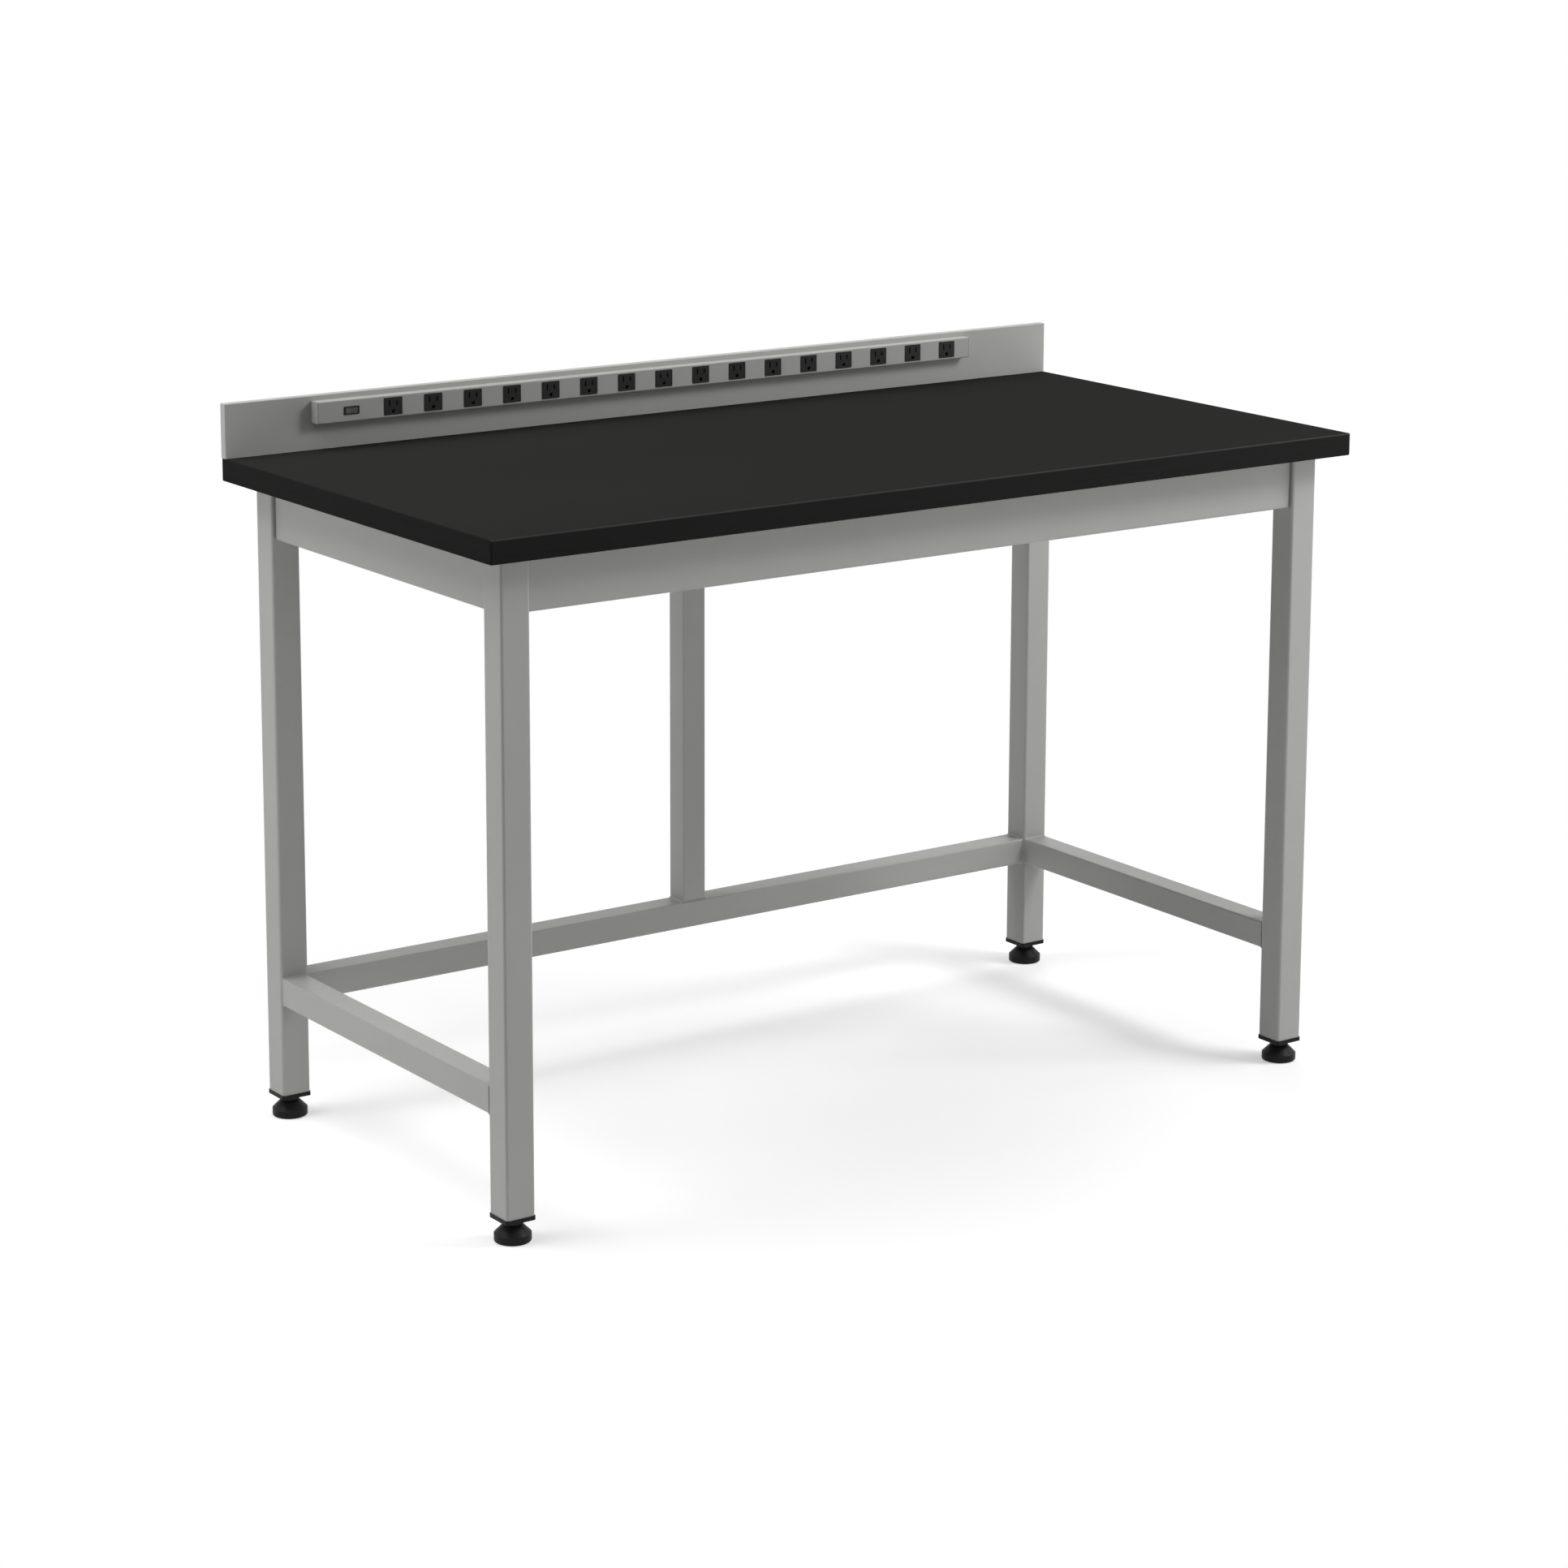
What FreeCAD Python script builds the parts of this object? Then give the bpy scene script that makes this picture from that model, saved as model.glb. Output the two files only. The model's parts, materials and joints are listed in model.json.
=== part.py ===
# Laboratory table: black slab on a square-tube frame with screw feet, a folded sheet ledge
# along its rear edge and a sixteen-way outlet strip with a rocker switch on that ledge.
# Millimetres. Origin on the floor at the centre of the footprint, +X along the length
# to the user's right, -Y to the user, +Z up.

import FreeCAD
import Part
import math
import os

V = FreeCAD.Vector
X_AXIS = V(1, 0, 0)
Y_AXIS = V(0, 1, 0)
Z_AXIS = V(0, 0, 1)

# ---------------------------------------------------------------- driving dimensions

# Worktop
worktop_length = 1524.0
worktop_depth = 762.0
worktop_thickness = 34.0
worktop_height = 1000.0
worktop_edge_radius = 2.0
worktop_corner_radius = 3.0

# Legs and rails
leg_size = 46.0
leg_wall = 2.0
leg_corner_radius = 4.0
leg_inset = 36.0
apron_height = 80.0
apron_depth = 30.0
apron_sheet = 2.0
apron_setback = 7.0
apron_corner_radius = 3.5
apron_end_gap = 1.5
apron_end_plate = 3.0
stretcher_size = 42.0
stretcher_wall = 2.0
stretcher_corner_radius = 3.0
stretcher_underside = 179.0
mid_post_width = 42.0
mid_post_depth = 40.0
mid_post_centre_x = 17.0
mid_post_top_plate = 3.0

# Screw feet
pad_radius = 26.4
pad_side = 12.0
pad_bottom_round = 3.0
pad_cone_height = 12.0
pad_cone_top_radius = 14.5
hub_flats = 25.0
hub_height = 8.0
cap_overhang = 1.0
cap_thickness = 6.0
spigot_height = 22.0
spigot_clearance = 0.2
foot_screw_radius = 5.0
foot_screw_reserve = 30.0
foot_nut_flats = 17.0
foot_nut_height = 8.0
foot_collar_radius = 8.0
foot_collar_height = 4.6
foot_socket_floor = 7.0
foot_travel = 25.0

# Ledge
ledge_height = 81.0
ledge_depth = 13.0
ledge_sheet = 1.5
ledge_bend_radius = 1.2
rear_cover_sheet = 1.2
rear_cover_inset = 2.5
stiffener_width = 30.0
stiffener_wall = 1.2
stiffener_end_inset = 34.0
stiffener_top_gap = 4.0
stiffener_bottom_gap = 6.0
rear_cover_screw_inset = 20.0

# Outlet strip
strip_margin_left = 143.0
strip_margin_right = 171.0
strip_rise = 40.0
strip_height = 33.5
strip_depth = 18.0
strip_sheet = 1.2
strip_edge_radius = 1.8
strip_end_plate = 1.5
strip_end_radius = 0.9
base_lip_depth = 11.0

# Outlets
outlet_count = 16
outlet_first_from_end = 128.0
outlet_last_from_end = 47.0
outlet_width = 31.0
outlet_height = 26.5
outlet_flange = 0.8
outlet_flange_overlap = 1.2
outlet_corner_radius = 1.5
outlet_body_depth = 13.0
outlet_face_depth = 1.2
snap_ear_reach = 0.9
snap_ear_depth = 3.0
blade_spacing = 12.7
blade_rise = 4.6
blade_slot_width = 2.2
neutral_slot_height = 8.6
line_slot_height = 7.2
blade_pocket_width = 5.2
blade_pocket_height = 9.8
ground_drop = 11.9
ground_hole_radius = 2.8
ground_hole_flat = 2.4
ground_pocket_width = 8.0
ground_pocket_height = 7.2

# Contact rails
rail_thickness = 1.0
rail_height = 4.0
rail_overrun = 16.0
leaf_thickness = 0.6
leaf_depth = 8.5
blade_leaf_gap = 1.9
blade_leaf_height = 3.4
ground_leaf_gap = 5.4
neutral_rail_rise = 7.6
line_rail_rise = 1.8

# Rocker switch
switch_from_end = 57.5
switch_width = 26.0
switch_height = 12.6
switch_flange = 0.8
switch_flange_overlap = 0.9
switch_body_depth = 11.0
switch_window_width = 20.2
switch_window_height = 9.0
switch_back_wall = 1.2
rocker_width = 18.0
rocker_height = 8.4
rocker_end_rise = 4.2
rocker_middle_rise = 2.3
rocker_tilt = 12.0
rocker_pin_radius = 1.0
rocker_pin_depth = 2.6
rocker_pin_reach = 0.7
rocker_root_width = 6.0
terminal_spacing = 13.0
terminal_thickness = 0.8
terminal_height = 4.8
terminal_length = 5.0

# Supply entry and wires
entry_from_end = 19.0
entry_bore_radius = 4.25
grommet_neck_radius = 6.0
grommet_flange_radius = 7.6
grommet_flange = 1.2
wire_radius = 1.3
wire_overlap = 8.0

# Fasteners
frame_bolt_radius = 4.0
frame_bolt_length = 16.0
frame_bolt_head_flats = 13.0
frame_bolt_head_height = 5.3
frame_bolt_spread = 40.0
frame_nut_height = 6.5
worktop_screw_radius = 3.0
worktop_screw_length = 20.0
worktop_screw_head_radius = 5.0
worktop_screw_head_height = 3.5
long_rail_screw_count = 4
short_rail_screw_count = 2
worktop_screw_end_inset = 120.0
small_screw_radius = 2.0
small_screw_head_radius = 3.8
small_screw_head_height = 2.2
small_nut_flats = 7.0
small_nut_height = 3.2
small_screw_end = 1.5
strip_screw_positions = (1.5, 4.5, 7.5, 10.5, 13.5)
stiffener_positions = (3.0, 6.0, 9.0, 12.0)
ledge_screw_end_inset = 110.0

# Clearances
running_clearance = 0.05
thread_clearance = 0.1
hole_clearance = 0.4
snap_clearance = 0.2
face_clearance = 0.3

# Tolerance for picking edges
same_place = 0.01

# ---------------------------------------------------------------- derived places

half_length = worktop_length / 2
half_depth = worktop_depth / 2
worktop_bottom = worktop_height - worktop_thickness
leg_centre_x = half_length - leg_inset - leg_size / 2
leg_centre_y = half_depth - leg_inset - leg_size / 2
leg_half = leg_size / 2
leg_gap_x = leg_centre_x - leg_half
leg_gap_y = leg_centre_y - leg_half
leg_face_x = leg_centre_x + leg_half
leg_face_y = leg_centre_y + leg_half
apron_face_x = leg_face_x - apron_setback
apron_face_y = leg_face_y - apron_setback
apron_bottom = worktop_bottom - apron_height
stretcher_top = stretcher_underside + stretcher_size

hub_bottom = pad_side + pad_cone_height + face_clearance
hub_top = hub_bottom + hub_height
leg_bottom = hub_top + cap_thickness
foot_screw_top = hub_top + foot_nut_height + foot_travel + foot_screw_reserve

ledge_rear = half_depth
ledge_front = ledge_rear - ledge_depth
ledge_top = worktop_height + ledge_height
ledge_inside_front = ledge_front + ledge_sheet
rear_cover_back = ledge_rear - rear_cover_inset
rear_cover_front = rear_cover_back - rear_cover_sheet
ledge_cavity_middle = (ledge_inside_front + rear_cover_front) / 2

strip_left = -half_length + strip_margin_left
strip_right = half_length - strip_margin_right
strip_bottom = worktop_height + strip_rise
strip_top = strip_bottom + strip_height
strip_middle = strip_bottom + strip_height / 2
strip_front = ledge_front - strip_depth
base_front = ledge_front - strip_sheet
outlet_first_x = strip_left + outlet_first_from_end
outlet_last_x = strip_right - outlet_last_from_end
outlet_pitch = (outlet_last_x - outlet_first_x) / (outlet_count - 1)
outlet_body_half_width = outlet_width / 2 - outlet_flange_overlap
outlet_body_half_height = outlet_height / 2 - outlet_flange_overlap
rail_front = strip_front + outlet_body_depth
rail_back = rail_front + rail_thickness
blade_height = strip_middle + blade_rise
ground_height = blade_height - ground_drop

switch_x = strip_left + switch_from_end
switch_front = strip_front - switch_flange
pivot_y = switch_front + rocker_pin_depth
entry_x = strip_left + entry_from_end

leg_names = ("front_left", "front_right", "back_left", "back_right")
leg_signs = {name: (1 if "right" in name else -1, 1 if "back" in name else -1) for name in leg_names}


# ---------------------------------------------------------------- shape helpers

def block(x, y, z):
    """A box between the low and high values given for each axis."""
    return Part.makeBox(x[1] - x[0], y[1] - y[0], z[1] - z[0], V(x[0], y[0], z[0]))


def centred(middle, size):
    """The low and high ends of a span with the given middle and size."""
    return (middle - size / 2, middle + size / 2)


def signed_span(sign, near, far):
    """The span between two distances from the middle, on the side that sign gives."""
    return tuple(sorted((sign * near, sign * far)))


def rod(radius, start, length, direction):
    return Part.makeCylinder(radius, length, start, direction)


def hexagon(flats, start, height, direction):
    """A hexagonal prism along a direction, given across its flats; upright ones have flats facing Y."""
    corners = []
    for step in range(7):
        angle = math.radians(60 * step)
        corner_radius = flats / math.sqrt(3)
        corners.append(V(corner_radius * math.cos(angle), corner_radius * math.sin(angle), 0))
    prism = Part.Face(Part.makePolygon(corners)).extrude(V(0, 0, height))
    prism.Placement = FreeCAD.Placement(start, FreeCAD.Rotation(Z_AXIS, direction))
    return prism


def edges_along(shape, direction):
    """The straight edges of a shape that run along a direction."""
    found = []
    for edge in shape.Edges:
        if edge.Curve.TypeId != "Part::GeomLine":
            continue
        run = edge.Vertexes[-1].Point - edge.Vertexes[0].Point
        if run.Length > same_place and run.cross(direction).Length < same_place:
            found.append(edge)
    return found


def rounded(shape, direction, radius):
    return shape.makeFillet(radius, edges_along(shape, direction))


def rounded_at(shape, direction, radius, keep):
    """Round the edges along a direction whose middle point passes the keep test."""
    edges = [edge for edge in edges_along(shape, direction) if keep(edge.CenterOfMass)]
    return shape.makeFillet(radius, edges)


def inset(span, wall):
    return (span[0] + wall, span[1] - wall)


def square_tube(x, y, z, direction, wall, corner_radius):
    """A tube with rounded corners that fills the given spans and runs along a direction."""
    outer = rounded(block(x, y, z), direction, corner_radius)
    spans = [span if axis * direction else inset(span, wall)
             for span, axis in zip((x, y, z), (X_AXIS, Y_AXIS, Z_AXIS))]
    inner = rounded(block(*spans), direction, corner_radius - wall)
    return outer.cut(inner)


def pan_screw(radius, length, seat, direction, head_radius, head_height):
    """A screw whose shank runs from its seat along a direction, with its head behind the seat."""
    shank = rod(radius, seat, length, direction)
    head = rod(head_radius, seat - direction * head_height, head_height, direction)
    return shank.fuse(head).removeSplitter()


def ring(outer_radius, inner_radius, start, height, direction):
    return rod(outer_radius, start, height, direction).cut(rod(inner_radius, start, height, direction))


def group(solids):
    return Part.makeCompound(solids)


def even_spread(low, high, count):
    return [low + (high - low) * step / (count - 1) for step in range(count)]


# ---------------------------------------------------------------- where the fasteners sit

def outlet_x(position):
    """The x of an outlet, counted from 0 at the left; halves lie between two outlets."""
    return outlet_first_x + outlet_pitch * position


def strip_screw_xs():
    return [outlet_x(position) for position in strip_screw_positions]


def stiffener_xs():
    ends = [-half_length + stiffener_end_inset, half_length - stiffener_end_inset]
    return ends + [outlet_x(position) for position in stiffener_positions]


def ledge_screw_xs():
    ends = [-half_length + ledge_screw_end_inset, half_length - ledge_screw_end_inset]
    return ends + strip_screw_xs()


def rear_cover_screw_places():
    """Two screws on each stiffener, near the ledge's top and bottom."""
    heights = (worktop_height + rear_cover_screw_inset, ledge_top - rear_cover_screw_inset)
    return [(x, z) for x in stiffener_xs() for z in heights]


def worktop_screw_places():
    """Screws up through the top flanges of the four rails, halfway across each flange."""
    long_half = leg_gap_x - worktop_screw_end_inset
    short_half = leg_gap_y - worktop_screw_end_inset
    flange_y = apron_face_y - apron_depth / 2
    flange_x = apron_face_x - apron_depth / 2
    places = []
    for sign in (-1, 1):
        for x in even_spread(-long_half, long_half, long_rail_screw_count):
            places.append((x, sign * flange_y))
        for y in even_spread(-short_half, short_half, short_rail_screw_count):
            places.append((sign * flange_x, y))
    return places


def rail_end_bolts():
    """Each bolt as the point on the leg's inner face where it enters, and its direction."""
    middle_z = worktop_bottom - apron_height / 2
    bolts = []
    for name in leg_names:
        sign_x, sign_y = leg_signs[name]
        bolt_y = sign_y * (apron_face_y - apron_depth / 2)
        bolt_x = sign_x * (apron_face_x - apron_depth / 2)
        for z in centred(middle_z, frame_bolt_spread):
            bolts.append((V(sign_x * leg_gap_x, bolt_y, z), X_AXIS * sign_x))
            bolts.append((V(bolt_x, sign_y * leg_gap_y, z), Y_AXIS * sign_y))
    return bolts


# ---------------------------------------------------------------- worktop

def make_worktop():
    slab = block((-half_length, half_length), (-half_depth, half_depth), (worktop_bottom, worktop_height))
    slab = rounded(slab, Z_AXIS, worktop_corner_radius)
    level_edges = [edge for edge in slab.Edges if edge.BoundBox.ZLength < same_place]
    slab = slab.makeFillet(worktop_edge_radius, level_edges)
    thread_depth = worktop_screw_length - apron_sheet + face_clearance
    for x, y in worktop_screw_places():
        start = V(x, y, worktop_bottom)
        slab = slab.cut(rod(worktop_screw_radius + thread_clearance, start, thread_depth, Z_AXIS))
    for x in ledge_screw_xs():
        start = V(x, ledge_cavity_middle, worktop_bottom)
        slab = slab.cut(rod(small_screw_radius + hole_clearance, start, worktop_thickness, Z_AXIS))
    return slab


# ---------------------------------------------------------------- frame

def make_leg(name):
    sign_x, sign_y = leg_signs[name]
    tube = square_tube(centred(sign_x * leg_centre_x, leg_size), centred(sign_y * leg_centre_y, leg_size),
                       (leg_bottom, worktop_bottom), Z_AXIS, leg_wall, leg_corner_radius)
    for point, direction in rail_end_bolts():
        if point.x * sign_x > 0 and point.y * sign_y > 0:
            tube = tube.cut(rod(frame_bolt_radius + hole_clearance, point, leg_wall, direction))
    return tube


def make_rail(x, y, direction, open_side):
    """A channel rail between two legs, open on its inner side, with an end plate at each end."""
    z = (apron_bottom, worktop_bottom)
    outside = open_side * -1

    def on_outer_face(point):
        middle = V(sum(x) / 2, sum(y) / 2, point.z)
        return (point - middle).dot(outside) > 0

    body = rounded_at(block(x, y, z), direction, apron_corner_radius, on_outer_face)
    shell = [span if axis.dot(direction) else inset(span, apron_sheet)
             for span, axis in zip((x, y, z), (X_AXIS, Y_AXIS, Z_AXIS))]
    cavity = block(*shell)
    cavity = cavity.fuse(cavity.translated(open_side * apron_sheet))
    body = body.cut(cavity)
    plate_spans = [list(span) for span in shell]
    along = 0 if direction.x else 1
    low, high = shell[along]
    for end, other in ((low, low + apron_end_plate - apron_end_gap),
                       (high, high - apron_end_plate + apron_end_gap)):
        outward = -1 if end == low else 1
        plate_spans[along] = sorted((end + outward * apron_end_gap, other))
        body = body.fuse(block(*plate_spans))
    body = body.removeSplitter()
    for point, bolt_direction in rail_end_bolts():
        start = point - bolt_direction * apron_end_plate
        body = body.cut(rod(frame_bolt_radius + hole_clearance, start, apron_end_plate, bolt_direction))
    for screw_x, screw_y in worktop_screw_places():
        start = V(screw_x, screw_y, worktop_bottom - apron_sheet)
        body = body.cut(rod(worktop_screw_radius + hole_clearance, start, apron_sheet, Z_AXIS))
    return body


def make_long_rail(sign):
    x = (-leg_gap_x + apron_end_gap, leg_gap_x - apron_end_gap)
    y = signed_span(sign, apron_face_y - apron_depth, apron_face_y)
    return make_rail(x, y, X_AXIS, Y_AXIS * -sign)


def make_short_rail(sign):
    x = signed_span(sign, apron_face_x - apron_depth, apron_face_x)
    y = (-leg_gap_y + apron_end_gap, leg_gap_y - apron_end_gap)
    return make_rail(x, y, Y_AXIS, X_AXIS * -sign)


def make_back_stretcher():
    y = centred(leg_centre_y, stretcher_size)
    return square_tube((-leg_gap_x, leg_gap_x), y, (stretcher_underside, stretcher_top), X_AXIS,
                       stretcher_wall, stretcher_corner_radius)


def make_side_stretcher(sign):
    x = centred(sign * leg_centre_x, stretcher_size)
    return square_tube(x, (-leg_gap_y, leg_gap_y), (stretcher_underside, stretcher_top), Y_AXIS,
                       stretcher_wall, stretcher_corner_radius)


def make_mid_post():
    """Post from the back stretcher, flush with its rear face, to the underside of the back rail."""
    x = centred(mid_post_centre_x, mid_post_width)
    rear = leg_centre_y + stretcher_size / 2
    y = (rear - mid_post_depth, rear)
    tube = square_tube(x, y, (stretcher_top, apron_bottom - mid_post_top_plate), Z_AXIS,
                       stretcher_wall, stretcher_corner_radius)
    plate = rounded(block(x, y, (apron_bottom - mid_post_top_plate, apron_bottom)), Z_AXIS,
                    stretcher_corner_radius)
    return tube.fuse(plate).removeSplitter()


def make_apron_bolts():
    """Hexagon screws from inside each rail through its end plate into the leg."""
    bolts = []
    for point, direction in rail_end_bolts():
        seat = point - direction * apron_end_plate
        head = hexagon(frame_bolt_head_flats, seat - direction * frame_bolt_head_height,
                       frame_bolt_head_height, direction)
        bolts.append(rod(frame_bolt_radius, seat, frame_bolt_length, direction).fuse(head).removeSplitter())
    return group(bolts)


def make_nut(flats, hole_radius, start, height, direction):
    return hexagon(flats, start, height, direction).cut(rod(hole_radius, start, height, direction))


def make_weld_nuts():
    """Nuts inside the legs for the rails, and inside the ledge for its own and the strip's screws."""
    nuts = []
    for point, direction in rail_end_bolts():
        nuts.append(make_nut(frame_bolt_head_flats, frame_bolt_radius + thread_clearance,
                             point + direction * leg_wall, frame_nut_height, direction))
    small_hole = small_screw_radius + thread_clearance
    for x in ledge_screw_xs():
        start = V(x, ledge_cavity_middle, worktop_height + ledge_sheet)
        nuts.append(make_nut(small_nut_flats, small_hole, start, small_nut_height, Z_AXIS))
    for x in strip_screw_xs():
        nuts.append(make_nut(small_nut_flats, small_hole, V(x, ledge_inside_front, strip_middle),
                             small_nut_height, Y_AXIS))
    return group(nuts)


def make_worktop_screws():
    seat_z = worktop_bottom - apron_sheet
    return group([pan_screw(worktop_screw_radius, worktop_screw_length, V(x, y, seat_z), Z_AXIS,
                            worktop_screw_head_radius, worktop_screw_head_height)
                  for x, y in worktop_screw_places()])


# ---------------------------------------------------------------- screw feet

def make_leg_plugs():
    """End caps: a square flange a little wider than the leg, and a spigot inside the tube."""
    plugs = []
    spigot_size = leg_size - 2 * leg_wall - 2 * spigot_clearance
    flange_size = leg_size + 2 * cap_overhang
    for name in leg_names:
        sign_x, sign_y = leg_signs[name]
        base = V(sign_x * leg_centre_x, sign_y * leg_centre_y, hub_top)
        flange = block(centred(base.x, flange_size), centred(base.y, flange_size),
                       (hub_top, leg_bottom))
        flange = rounded(flange, Z_AXIS, leg_corner_radius)
        spigot = block(centred(base.x, spigot_size), centred(base.y, spigot_size),
                       (leg_bottom, leg_bottom + spigot_height))
        spigot = rounded(spigot, Z_AXIS, leg_corner_radius - leg_wall)
        pocket = hexagon(foot_nut_flats, base, foot_nut_height, Z_AXIS)
        bore = rod(foot_screw_radius + hole_clearance, base, cap_thickness + spigot_height, Z_AXIS)
        plugs.append(flange.fuse(spigot).cut(pocket).cut(bore).removeSplitter())
    return group(plugs)


def make_plug_nuts():
    nuts = []
    for name in leg_names:
        sign_x, sign_y = leg_signs[name]
        start = V(sign_x * leg_centre_x, sign_y * leg_centre_y, hub_top)
        nuts.append(make_nut(foot_nut_flats, foot_screw_radius + running_clearance, start,
                             foot_nut_height, Z_AXIS))
    return group(nuts)


def make_foot_pad(name):
    """Round pad with a cone up to the hub, bored for the screw and its captive collar."""
    sign_x, sign_y = leg_signs[name]
    centre = V(sign_x * leg_centre_x, sign_y * leg_centre_y, 0)
    disc = rod(pad_radius, centre, pad_side, Z_AXIS)
    bottom_edges = [edge for edge in disc.Edges
                    if edge.Closed and abs(edge.CenterOfMass.z) < same_place]
    disc = disc.makeFillet(pad_bottom_round, bottom_edges)
    cone = Part.makeCone(pad_radius, pad_cone_top_radius, pad_cone_height,
                         centre + Z_AXIS * pad_side, Z_AXIS)
    floor = centre + Z_AXIS * foot_socket_floor
    socket = rod(foot_collar_radius + running_clearance, floor, foot_collar_height + face_clearance, Z_AXIS)
    throat_height = pad_side + pad_cone_height - foot_socket_floor
    throat = rod(foot_screw_radius + running_clearance, floor, throat_height, Z_AXIS)
    return disc.fuse(cone).cut(socket).cut(throat).removeSplitter()


def make_foot_stem(name):
    """Screw with a hexagonal hub and a collar held in the pad; it turns, the pad does not."""
    sign_x, sign_y = leg_signs[name]
    centre = V(sign_x * leg_centre_x, sign_y * leg_centre_y, 0)
    floor = centre + Z_AXIS * foot_socket_floor
    collar = rod(foot_collar_radius, floor, foot_collar_height, Z_AXIS)
    screw = rod(foot_screw_radius, floor, foot_screw_top - foot_socket_floor, Z_AXIS)
    hub = hexagon(hub_flats, centre + Z_AXIS * hub_bottom, hub_height, Z_AXIS)
    return collar.fuse(screw).fuse(hub).removeSplitter()


# ---------------------------------------------------------------- ledge

def make_backsplash_panel():
    """Folded pan: front sheet with returns along its top, bottom and ends, open at the rear."""
    x = (-half_length, half_length)
    z = (worktop_height, ledge_top)
    outer = block(x, (ledge_front, ledge_rear), z)

    def at_front(point):
        return point.y < ledge_inside_front

    def at_front_top(point):
        return at_front(point) and point.z > ledge_top - ledge_sheet

    outer = rounded_at(outer, X_AXIS, ledge_bend_radius, at_front_top)
    outer = rounded_at(outer, Z_AXIS, ledge_bend_radius, at_front)
    cavity = block(inset(x, ledge_sheet), (ledge_inside_front, ledge_rear), inset(z, ledge_sheet))
    panel = outer.cut(cavity)
    screw_hole = small_screw_radius + hole_clearance
    for screw_x in ledge_screw_xs():
        start = V(screw_x, ledge_cavity_middle, worktop_height)
        panel = panel.cut(rod(screw_hole, start, ledge_sheet, Z_AXIS))
    for screw_x in strip_screw_xs():
        start = V(screw_x, ledge_front, strip_middle)
        panel = panel.cut(rod(screw_hole, start, ledge_sheet, Y_AXIS))
    entry = V(entry_x, ledge_front, strip_middle)
    return panel.cut(rod(grommet_neck_radius, entry, ledge_sheet, Y_AXIS))


def make_stiffeners():
    """Flat tubes between the front sheet and the rear cover."""
    tubes = []
    for x in stiffener_xs():
        z = (worktop_height + stiffener_bottom_gap, ledge_top - stiffener_top_gap)
        y = (ledge_inside_front, rear_cover_front)
        x_span = centred(x, stiffener_width)
        tube = block(x_span, y, z).cut(block(inset(x_span, stiffener_wall), inset(y, stiffener_wall), z))
        for screw_x, screw_z in rear_cover_screw_places():
            if screw_x == x:
                start = V(screw_x, rear_cover_front - stiffener_wall, screw_z)
                tube = tube.cut(rod(small_screw_radius + thread_clearance, start, stiffener_wall, Y_AXIS))
        tubes.append(tube)
    return group(tubes)


def make_rear_cover():
    x = inset((-half_length, half_length), ledge_sheet + face_clearance)
    z = inset((worktop_height, ledge_top), ledge_sheet + face_clearance)
    cover = block(x, (rear_cover_front, rear_cover_back), z)
    for screw_x, screw_z in rear_cover_screw_places():
        start = V(screw_x, rear_cover_front, screw_z)
        cover = cover.cut(rod(small_screw_radius + hole_clearance, start, rear_cover_sheet, Y_AXIS))
    entry = V(entry_x, rear_cover_front, strip_middle)
    return cover.cut(rod(grommet_neck_radius, entry, rear_cover_sheet, Y_AXIS))


def make_rear_cover_screws():
    length = rear_cover_sheet + stiffener_wall + small_screw_end
    return group([pan_screw(small_screw_radius, length, V(x, rear_cover_back, z), Y_AXIS * -1,
                            small_screw_head_radius, small_screw_head_height)
                  for x, z in rear_cover_screw_places()])


def make_backsplash_screws():
    """Long screws up through the worktop into the nuts on the ledge's bottom return."""
    length = worktop_thickness + ledge_sheet + small_nut_height + small_screw_end
    return group([pan_screw(small_screw_radius, length, V(x, ledge_cavity_middle, worktop_bottom), Z_AXIS,
                            small_screw_head_radius, small_screw_head_height)
                  for x in ledge_screw_xs()])


def make_supply_grommet():
    """Bush in the rear cover: a thin flange inside, and outside a collar flush with the ledge's rear edge."""
    neck = ring(grommet_neck_radius, entry_bore_radius, V(entry_x, rear_cover_front, strip_middle),
                rear_cover_sheet, Y_AXIS)
    inner = ring(grommet_flange_radius, entry_bore_radius,
                 V(entry_x, rear_cover_front - grommet_flange, strip_middle), grommet_flange, Y_AXIS)
    collar = ring(grommet_flange_radius, entry_bore_radius, V(entry_x, rear_cover_back, strip_middle),
                  ledge_rear - rear_cover_back, Y_AXIS)
    return neck.fuse(inner).fuse(collar).removeSplitter()


# ---------------------------------------------------------------- outlet strip

def make_strip_base():
    """Channel screwed to the ledge, its lips inside the cover."""
    x = inset((strip_left, strip_right), strip_end_plate)
    z = inset((strip_bottom, strip_top), strip_sheet + thread_clearance)
    y = (base_front - base_lip_depth, ledge_front)
    base = block(x, y, z).cut(block(x, (y[0], base_front), inset(z, strip_sheet)))
    for screw_x in strip_screw_xs():
        start = V(screw_x, base_front, strip_middle)
        base = base.cut(rod(small_screw_radius + hole_clearance, start, strip_sheet, Y_AXIS))
    entry = V(entry_x, base_front, strip_middle)
    return base.cut(rod(grommet_neck_radius, entry, strip_sheet, Y_AXIS))


def at_strip_front(point):
    return point.y < strip_front + strip_sheet


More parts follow.
